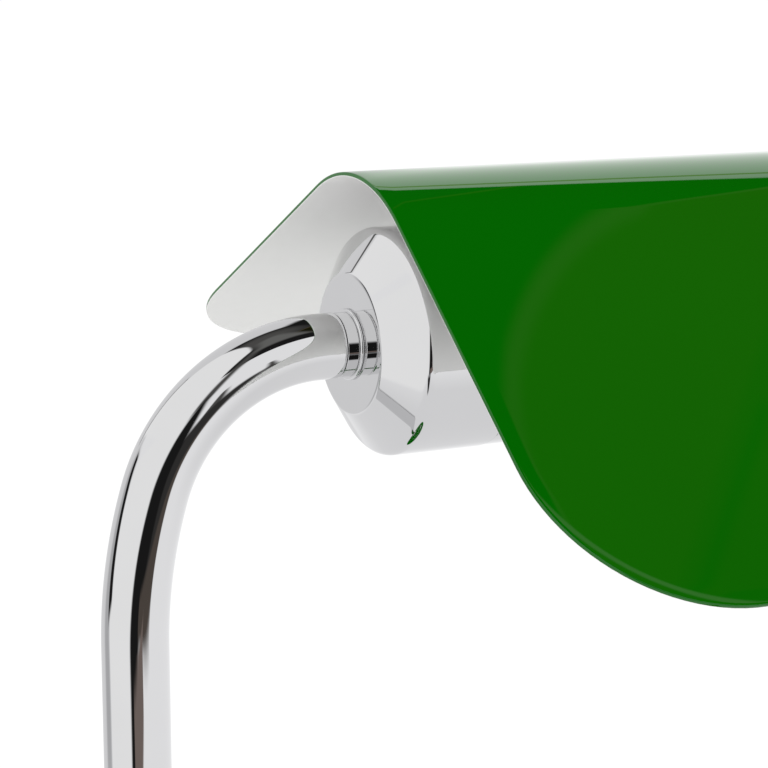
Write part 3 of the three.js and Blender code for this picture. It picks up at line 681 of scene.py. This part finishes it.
def build_holder_sleeve():
    """A cup whose spigot fits inside the cap, with its rim snug against the cap's."""
    start, end = low("holder_sleeve").x, high("holder_sleeve").x
    radius, rim = radius_of("holder_sleeve"), high("end_cap").x + GAP
    register, spigot, spigot_edge = 2 * MM, 22.85 * MM, 0.5 * MM
    outline = filleted([
        (start, THREAD_HOLE), (start, spigot, spigot_edge), (rim, spigot), (rim, radius, CRISP),
        (end, radius, EASED), (end, radius - SPUN_WALL, EASED),
        (rim + register, radius - SPUN_WALL, SOFT), (rim + register, spigot - SPUN_WALL, SOFT),
        (start + SPUN_WALL, spigot - SPUN_WALL), (start + SPUN_WALL, THREAD_HOLE),
    ])
    turned("holder_sleeve_fine", outline, lamp_spine, "chrome", "head", segments=MANY)


def build_lampholder_body():
    """A cup with a chamfered back and an outer thread for the shade ring."""
    start, end = low("lampholder_body").x, high("lampholder_body").x
    radius = radius_of("lampholder_body")
    wall, back, chamfer, lip = 3.4 * MM, 4 * MM, 3.5 * MM, 2 * MM
    pitch, depth, length, run_out = 2.5 * MM, 0.35 * MM, 14 * MM, 1 * MM
    thread_steps = 56
    rim_start = end - 0.9 * MM
    turns = evenly(end - length, end - run_out, thread_steps)
    rim = filleted([
        (rim_start, radius), (end, radius, ROUNDED), (end, radius - wall, SOFT),
        (end - lip, radius - wall),
    ], steps=4)
    outline = (
        [(start, THREAD_HOLE), (start, radius - chamfer), (start + chamfer, radius)]
        + [(along, radius) for along in turns] + rim[1:-1]
        + [(start + back, radius - wall), (start + back, THREAD_HOLE)]
    )
    turned("lampholder_body_fine", outline, lamp_spine, "black_plastic", "head", segments=SOME,
           ripple=thread(turns[0], turns[-1], pitch, depth))


def build_shade_ring():
    """A flanged ring that screws over the lampholder, with a ribbed grip."""
    start, end = low("shade_ring").x, high("shade_ring").x
    radius = radius_of("shade_ring")
    flange, step, hole, chamfer = 2 * MM, 1.5 * MM, 19.9 * MM, 1 * MM
    grip_start, grip_rise, flange_edge = 0.8 * MM, 0.6 * MM, 0.5 * MM
    ribs, points_per_rib, rib_depth = 48, 6, 0.25 * MM
    ribs_start, ribs_end = start + flange + 0.7 * MM, end - 0.5 * MM
    grip = radius - step
    outline = filleted([
        (start, hole), (start, radius, SOFT), (start + flange, radius, flange_edge),
        (start + flange, grip, EASED), (start + flange + grip_start, grip), (end - chamfer, grip),
        (end, grip - grip_rise, EASED), (end, hole, SOFT),
    ], steps=4)

    def knurl(along, angle):
        on_grip = ribs_start < along < ribs_end
        return -rib_depth * (1 + math.cos(ribs * angle)) if on_grip else 0

    turned("shade_ring_fine", outline, lamp_spine, "black_plastic", "head",
           segments=ribs * points_per_rib, ripple=knurl)


# ------------------------------------------------------------------ bulb


def build_bulb_cap():
    """A thin threaded shell that tapers in at its contact end."""
    start, end = low("bulb_cap").x, high("bulb_cap").x
    radius = radius_of("bulb_cap")
    taper, rim = 2 * MM, 3.5 * MM
    pitch, depth = 3.6 * MM, 0.8 * MM
    thread_steps = 72
    turns = evenly(start + taper, end - rim, thread_steps)
    outline = (
        [(start, radius - taper - BULB_CAP_WALL), (start, radius - taper)]
        + [(along, radius) for along in turns] + [(end, radius), (end, radius - BULB_CAP_WALL)]
        + [(along, radius - BULB_CAP_WALL) for along in reversed(turns)]
    )
    turned("bulb_cap_fine", outline, lamp_spine, "chrome", "bulb", segments=SOME,
           ripple=thread(turns[1], turns[-2], pitch, depth))


def bezier(ends, count):
    """Points along a cubic curve from its first to its last control point."""
    points = []
    for done in evenly(0, 1, count):
        left = 1 - done
        weights = [left ** 3, 3 * done * left ** 2, 3 * done * done * left, done ** 3]
        point = sum((end * weight for end, weight in zip(ends, weights)), Vector((0, 0)))
        points.append((point.x, point.y))
    return points


def glass_skin(inward):
    """The glass from the cap to the tip: a flare that meets the globe without a corner."""
    neck_start = high("bulb_cap").x + GAP
    neck_handle, neck_rise, globe_handle = 12 * MM, 0.6 * MM, 13 * MM
    flare_end = math.radians(130)  # round the globe from its tip
    flare_steps, globe_steps = 24, 40
    centre = high("bulb_glass").x - BULB_GLOBE
    reach, neck = BULB_GLOBE - inward, BULB_NECK - inward

    def on_globe(angle):
        return centre + reach * math.cos(angle), reach * math.sin(angle)

    joint = Vector(on_globe(flare_end))
    slope = Vector((math.sin(flare_end), -math.cos(flare_end)))
    flare = bezier([
        Vector((neck_start, neck)), Vector((neck_start - GAP + neck_handle, neck + neck_rise)),
        joint - slope * globe_handle, joint,
    ], flare_steps)
    globe = [on_globe(angle) for angle in evenly(flare_end, 0, globe_steps)[1:-1]]
    return flare + globe + [(centre + reach, 0)]


def build_bulb_glass():
    start, cap_end = low("bulb_glass").x, high("bulb_cap").x + GAP
    inset = radius_of("bulb_cap") - BULB_CAP_WALL - GAP
    outside = [(start, inset - BULB_GLASS), (start, inset), (cap_end, inset)] + glass_skin(0)
    inside = glass_skin(BULB_GLASS)[::-1] + [(cap_end, inset - BULB_GLASS)]
    turned("bulb_glass_fine", outside + inside, lamp_spine, "opal_glass", "bulb")


# ------------------------------------------------------------------ shade


def shade_across(along):
    """A point of the outer skin's section, by its distance from the ridge along the section.

    Gives (y, z) from the lamp axis before the tilt, and the outward normal there.
    """
    side = 1 if along >= 0 else -1
    distance = abs(along)
    centre = Vector((0, SHADE_APEX - SHADE_APEX_RADIUS / math.sin(SHADE_HALF_ANGLE)))
    if distance <= shade_bend:
        angle = distance / SHADE_APEX_RADIUS
        normal = Vector((side * math.sin(angle), math.cos(angle)))
        return centre + normal * SHADE_APEX_RADIUS, normal
    normal = Vector((side * math.cos(SHADE_HALF_ANGLE), math.sin(SHADE_HALF_ANGLE)))
    down = Vector((side * math.sin(SHADE_HALF_ANGLE), -math.cos(SHADE_HALF_ANGLE)))
    return centre + normal * SHADE_APEX_RADIUS + down * (distance - shade_bend), normal


def shade_rows(inset):
    """Rows over the flattened sheet, inset from its edge: (distance, lowest x, highest x)."""
    arc_steps, flat_steps, support = 24, 6, 0.4 * MM
    length = high("shade_sheet").x - low("shade_sheet").x
    tangent = SHADE_APEX_RADIUS / math.tan(SHADE_HALF_ANGLE)
    reach = SHADE_SLOPE - tangent + shade_bend - inset
    corner = SHADE_CORNER - inset
    straight = reach - corner
    half = [(distance, 0.0) for distance in evenly(0, shade_bend, arc_steps)]
    half += [(shade_bend + support, 0.0)]  # keeps the shading of the flat straight
    half += [(distance, 0.0) for distance in evenly(shade_bend, straight, flat_steps)[1:]]
    for angle in evenly(0, math.pi / 2, arc_steps)[1:]:
        half.append((straight + corner * math.sin(angle), corner * (1 - math.cos(angle))))
    rows = [(-distance, taken) for distance, taken in reversed(half[1:])] + half
    return [(distance, inset + taken, length - inset - taken) for distance, taken in rows]


def shade_grid(work, depth, inset, columns):
    """Rows of vertices over one layer of the sheet, so deep in it and so far from its edge."""
    tilt = Matrix.Rotation(SHADE_TILT, 3, "X")
    grid = []
    for distance, from_x, to_x in shade_rows(inset):
        point, normal = shade_across(distance)
        point = point - normal * depth
        grid.append([
            work.verts.new(cap_face + tilt @ Vector((x, point.x, point.y)))
            for x in evenly(from_x, to_x, columns)
        ])
    return grid


def shade_mesh(name, layers):
    """One skin of the sheet. layers are (depth, inset) from its outer face to its inner face."""
    columns = 36
    work = bmesh.new()
    grids = [shade_grid(work, depth, inset, columns) for depth, inset in layers]
    # Only the first and last grids keep their middles. The others are rims between them.
    for grid in (grids[0], grids[-1]):
        for row, after in zip(grid, grid[1:]):
            for step in range(columns):
                work.faces.new([row[step], row[step + 1], after[step + 1], after[step]])

    def rim(grid):
        left = [row[0] for row in grid]
        right = [row[-1] for row in grid]
        return grid[0][:-1] + right[:-1] + grid[-1][:0:-1] + left[:0:-1]

    for first, second in zip(grids, grids[1:]):
        upper, lower = rim(first), rim(second)
        for index in range(len(upper)):
            after = (index + 1) % len(upper)
            work.faces.new([upper[index], upper[after], lower[after], lower[index]])
    loose = [vert for vert in work.verts if not vert.link_faces]
    bmesh.ops.delete(work, geom=loose, context="VERTS")
    return closed_mesh(name, work)


def build_shade_outside():
    """The green skin: it rolls down at the border and runs over the sheet's cut edge."""
    edge, steps = 0.22 * MM, 6
    layers = []
    for inset in evenly(SHADE_ROLL, 0, steps)[:-1]:
        if inset > edge:
            share = 1 - (inset - edge) / (SHADE_ROLL - edge)
            layers.append((SHADE_DROOP * share ** 2, inset))
    for angle in evenly(0, math.pi / 2, steps):
        layers.append((SHADE_DROOP + edge * (1 - math.cos(angle)), edge * (1 - math.sin(angle))))
    layers.append((SHADE_PAINTED, 0))
    finish_piece("shade_outside", shade_mesh("shade_outside", layers), "green_enamel", "head",
                 ["shade_sheet"], sharp_angle=50)


def build_shade_inside():
    """The white skin, with a small bead at its edge."""
    bead, steps = 0.1 * MM, 6
    layers = [(SHADE_PAINTED, 0)]
    for angle in evenly(0, math.pi / 2, steps):
        layers.append((SHADE_SHEET - bead * (1 - math.sin(angle)), bead * (1 - math.cos(angle))))
    finish_piece("shade_inside", shade_mesh("shade_inside", layers), "white_enamel", "head",
                 ["shade_sheet"], sharp_angle=50)


# ------------------------------------------------------------------ studio

# The studio's greys from lit to dark, and its tinted glows.
BRIGHT, WALL, WHITE = (1.35, 1.35, 1.35), (0.98, 0.98, 0.99), (1.0, 1.0, 1.0)
SWEEP, PALE, GREY = (0.84, 0.84, 0.85), (0.78, 0.78, 0.79), (0.5, 0.5, 0.51)
DUSK, DIM, DARK = (0.15, 0.15, 0.145), (0.085, 0.083, 0.08), (0.035, 0.034, 0.033)
BLACK, STRAW = (0.012, 0.012, 0.012), (0.62, 0.58, 0.30)
BROWN, RUST = (0.19, 0.15, 0.135), (0.085, 0.07, 0.06)
OLIVE, MOSS = (0.14, 0.10, 0.03), (0.012, 0.012, 0.004)
COPPER, CLARET, SHADOW = (0.20, 0.11, 0.07), (0.12, 0.035, 0.02), (0.05, 0.016, 0.01)
WINE, CREAM = (0.09, 0.025, 0.015), (0.60, 0.60, 0.42)

# How high the studio's parts meet, as the upward part of a direction one unit long. Each is where
# a soft edge starts and ends.
SWEEP_EDGE = (-0.62, -0.35)
CEILING_EDGE = (0.713, 0.722)
CEILING_TOP = (0.93, 0.99)

# Dim softboxes under the ceiling: colour, middle and half size, to the right of the camera and
# away from it on a ceiling one unit up, and the radius of their corners.
SOFTBOXES = (
    (OLIVE, (0.812, 0.5), (0.487, 0.7), 0.03),
    (MOSS, (0.812, 0.5), (0.481, 0.69), 0.03),
    (COPPER, (0.961, 0.55), (0.389, 0.75), 0.03),
    (COPPER, (0.651, 0.254), (0.12, 0.12), 0.12),
    (CLARET, (0.961, 0.55), (0.377, 0.738), 0.03),
    (CLARET, (0.651, 0.254), (0.108, 0.108), 0.108),
    (WINE, (1.02, 0.55), (0.34, 0.738), 0.03),
    (SHADOW, (0.696, 0.19), (0.005, 0.085), 0.005),
    (SHADOW, (0.85, 0.14), (0.13, 0.03), 0.02),
    (CREAM, (0.90, 0.115), (0.40, 0.010), 0.01),
)
SOFTBOX_BLUR = 0.006

# Areas of the studio as polished metal mirrors it, painted in this order. Each has a colour, a
# softness of edge, and corners as degrees from the camera to the right, and up. The backdrop's
# areas stop under the ceiling.
BACKDROP_AREAS = (
    (BRIGHT, 0.05, ((146, 2), (146, 60), (184, 60), (184, 2))),
    (STRAW, 0.008, ((146, 40.6), (146, 41.8), (184, 41.2), (184, 40.0))),
)
STUDIO_AREAS = (
    (PALE, 0.04, ((-180, -20), (-181, 66), (-150, 67), (-118, 52), (-112, -20))),
    (GREY, 0.10, ((-117, -24), (-119, 16), (-97, 16), (-90, -24))),
    (WHITE, 0.02, ((-129, 14), (-130, 60), (-112, 78), (-60, 84), (14, 70), (4, 14))),
    (WHITE, 0.03, ((-88, -24), (-93, 18), (8, 30), (-6, -8), (-22, -24))),
    (DIM, 0.008, ((-132.5, 10), (-133.5, 36), (-131.5, 36), (-130.5, 10))),
    (BLACK, 0.03, ((-114, 16), (-102, 18), (-84, -9), (-97, -13))),
    (DIM, 0.05, ((6, 24), (15, 48), (23, 48), (20, 24))),
    (DIM, 0.05, ((14.5, 44), (19, 66), (30, 66), (23, 44))),
    (DUSK, 0.06, ((24, 60), (10, 84), (100, 84), (70, 60))),
    (DIM, 0.02, ((31, 14), (33, 14), (42, -2), (33, -2))),
    (DIM, 0.01, ((43, 12), (44, 12), (49, -2), (47.5, -2))),
    (DARK, 0.04, ((22, 2), (26, 6), (48, 1), (52, -14), (22, -15))),
    (BLACK, 0.05, ((-24, -24), (-9, -3), (-6, 12), (8, 34), (14, 31), (23, 16), (28, 3), (25, -13),
                   (4, -24))),
    (BLACK, 0.05, ((-22, -24), (4, -24), (-2, -42), (-10, -42))),
    (RUST, 0.02, ((14, -12), (50, -10), (53, -17), (14, -16))),
    (BROWN, 0.012, ((-2, -18.5), (30, -15), (30, -19), (10, -23), (-2, -22))),
)


def towards(azimuth, elevation):
    """The direction at these degrees: round from the camera to the right, and up."""
    around = math.radians(azimuth) - math.pi / 2 - VIEW_AZIMUTH
    raised = math.radians(elevation)
    return Vector((
        math.cos(around) * math.cos(raised), math.sin(around) * math.cos(raised),
        math.sin(raised)))


def area(tree, direction, corners, softness):
    """1 inside a convex area of the studio with (azimuth, elevation) corners, and 0 outside."""
    points = [towards(*corner) for corner in corners]
    centre = sum(points, Vector((0, 0, 0)))
    inside = None
    for point, following in zip(points, points[1:] + points[:1]):
        edge = point.cross(following).normalized()
        if edge.dot(centre) < 0:
            edge = -edge
        beyond = new_node(tree, "ShaderNodeVectorMath", {0: direction, 1: edge},
                          operation="DOT_PRODUCT").outputs["Value"]
        fade = new_node(tree, "ShaderNodeMapRange", {
            "Value": beyond, "From Min": -softness, "From Max": softness,
        }, interpolation_type="SMOOTHSTEP").outputs["Result"]
        inside = fade if inside is None else math_node(tree, "MULTIPLY", inside, fade)
    return inside


def softbox(tree, direction, place, size, corner):
    """1 on a rounded box that hangs under the ceiling, and 0 elsewhere."""
    lowest = 0.2  # keeps directions near the horizon from being divided by nothing
    right, ahead, up = direction
    height = math_node(tree, "MAXIMUM", up, lowest)
    offsets = []
    for coordinate, centre, half in zip((right, ahead), place, size):
        on_ceiling = math_node(tree, "DIVIDE", coordinate, height)
        away = math_node(tree, "ABSOLUTE", math_node(tree, "SUBTRACT", on_ceiling, centre))
        past = math_node(tree, "MAXIMUM", math_node(tree, "SUBTRACT", away, half - corner), 0.0)
        offsets.append(math_node(tree, "POWER", past, 2.0))
    distance = math_node(tree, "SQRT", math_node(tree, "ADD", *offsets))
    return new_node(tree, "ShaderNodeMapRange", {
        "Value": distance, "From Min": corner - SOFTBOX_BLUR, "From Max": corner + SOFTBOX_BLUR,
        "To Min": 1.0, "To Max": 0.0}, interpolation_type="SMOOTHSTEP").outputs["Result"]


def painted_over(tree, mask, below, colour):
    """The colour where the mask is 1, over a colour or a pattern."""
    factor, first, second, result = 0, 6, 7, 2  # the mix node's sockets for colours
    mixed = new_node(tree, "ShaderNodeMix", data_type="RGBA")
    tree.links.new(mask, mixed.inputs[factor])
    for socket, value in ((mixed.inputs[first], below), (mixed.inputs[second], colour)):
        if isinstance(value, bpy.types.NodeSocket):
            tree.links.new(value, socket)
        else:
            socket.default_value = (*value, 1)
    return mixed.outputs[result]


def studio_reflections(tree, direction):
    """What polished surfaces mirror: pale walls with lit and dark areas, under a dark ceiling."""
    from_camera = new_node(
        tree, "ShaderNodeVectorRotate", {"Vector": direction, "Angle": VIEW_AZIMUTH},
        rotation_type="Z_AXIS").outputs["Vector"]
    axes = new_node(tree, "ShaderNodeSeparateXYZ", {"Vector": from_camera}).outputs
    right, ahead, up = axes["X"], axes["Y"], axes["Z"]

    def above(start, end):
        return new_node(tree, "ShaderNodeMapRange", {
            "Value": up, "From Min": start, "From Max": end}).outputs["Result"]

    painted = painted_over(tree, above(*SWEEP_EDGE), SWEEP, WALL)
    painted = painted_over(tree, above(*CEILING_EDGE), painted, BLACK)
    painted = painted_over(tree, above(*CEILING_TOP), painted, DIM)
    for colour, place, size, corner in SOFTBOXES:
        glow = softbox(tree, (right, ahead, up), place, size, corner)
        painted = painted_over(tree, glow, painted, colour)
    under_ceiling = above(*reversed(CEILING_EDGE))
    for colour, softness, corners in BACKDROP_AREAS:
        lit = math_node(tree, "MULTIPLY", area(tree, direction, corners, softness), under_ceiling)
        painted = painted_over(tree, lit, painted, colour)
    for colour, softness, corners in STUDIO_AREAS:
        painted = painted_over(tree, area(tree, direction, corners, softness), painted, colour)
    return painted


def build_world():
    """White all round for the soft light, and the studio's own pattern in reflections."""
    soft_level, mirrored_level = 1.08, 1.0
    world = bpy.data.worlds.new("studio")
    bpy.context.scene.world = world
    world.use_nodes = True
    world.cycles.sampling_method = "NONE"
    tree = world.node_tree
    tree.nodes.clear()
    direction = new_node(tree, "ShaderNodeTexCoord").outputs["Generated"]
    glossy = new_node(tree, "ShaderNodeLightPath").outputs["Is Glossy Ray"]
    soft = new_node(tree, "ShaderNodeBackground", {
        "Color": (1, 1, 1, 1), "Strength": soft_level})
    mirrored = new_node(tree, "ShaderNodeBackground", {
        "Color": studio_reflections(tree, direction), "Strength": mirrored_level})
    mixed = new_node(tree, "ShaderNodeMixShader", {
        0: glossy, 1: soft.outputs[0], 2: mirrored.outputs[0]})
    new_node(tree, "ShaderNodeOutputWorld", {"Surface": mixed.outputs[0]})


def build_floor():
    """A wide white sheet. Polished metal mirrors the studio's own pale sweep instead of it."""
    half = 60.0
    material, tree, shader = principled("floor", Roughness=0.9, Specular_IOR_Level=0.0)
    vary(tree, shader, "Base Color", noise(tree, scale=3, detail=2), (0.3, 0.93), (0.7, 0.95))
    mesh = bpy.data.meshes.new("floor")
    mesh.from_pydata(
        [(-half, -half, 0), (half, -half, 0), (half, half, 0), (-half, half, 0)], [],
        [(0, 1, 2, 3)])
    mesh.materials.append(material)
    floor = in_scene("floor", mesh)
    floor.visible_glossy = False


def aim(item, direction):
    """Points a camera or a light along a direction, upright."""
    item.rotation_mode = "QUATERNION"
    item.rotation_quaternion = direction.to_track_quat("-Z", "Y")


def build_camera():
    """Looks down along the lamp at the housing and the near end of the shade."""
    forward = Vector((
        math.sin(VIEW_AZIMUTH) * math.cos(VIEW_DROP),
        math.cos(VIEW_AZIMUTH) * math.cos(VIEW_DROP),
        -math.sin(VIEW_DROP)))
    right = Vector((math.cos(VIEW_AZIMUTH), -math.sin(VIEW_AZIMUTH), 0))
    up = right.cross(forward)
    target = cap_face + right * VIEW_RIGHT - up * VIEW_DOWN
    data = bpy.data.cameras.new("camera")
    data.sensor_width = SENSOR
    data.lens = LENS
    data.clip_start = 0.05
    data.clip_end = 200
    camera = in_scene("camera", data)
    camera.location = target - forward * VIEW_DISTANCE
    aim(camera, forward)
    bpy.context.scene.camera = camera


def build_lights():
    """One broad soft key from the front left, which mirrors nowhere."""
    target = Vector((0.05, 0, 0.2))
    data = bpy.data.lights.new("key", "AREA")
    data.shape = "RECTANGLE"
    data.size = 1.2
    data.size_y = 0.9
    data.energy = 6
    key = in_scene("key", data)
    key.location = (-1.1, -1.2, 1.5)
    key.visible_glossy = False
    aim(key, target - key.location)


# ------------------------------------------------------------------ assembly

bpy.context.scene.view_settings.view_transform = "Standard"

build_camera()
build_floor()
build_world()
build_lights()
paint_cad_nodes()
build_felt_pad()
build_base_cover()
build_cable_bush()
build_stem_collar()
build_switch_bezel()
build_switch_body()
build_push_button()
build_stem_tube()
build_neck_spigot()
build_neck_washer()
build_end_cap()
build_holder_sleeve()
build_lampholder_body()
build_shade_ring()
build_bulb_cap()
build_bulb_glass()
build_shade_outside()
build_shade_inside()
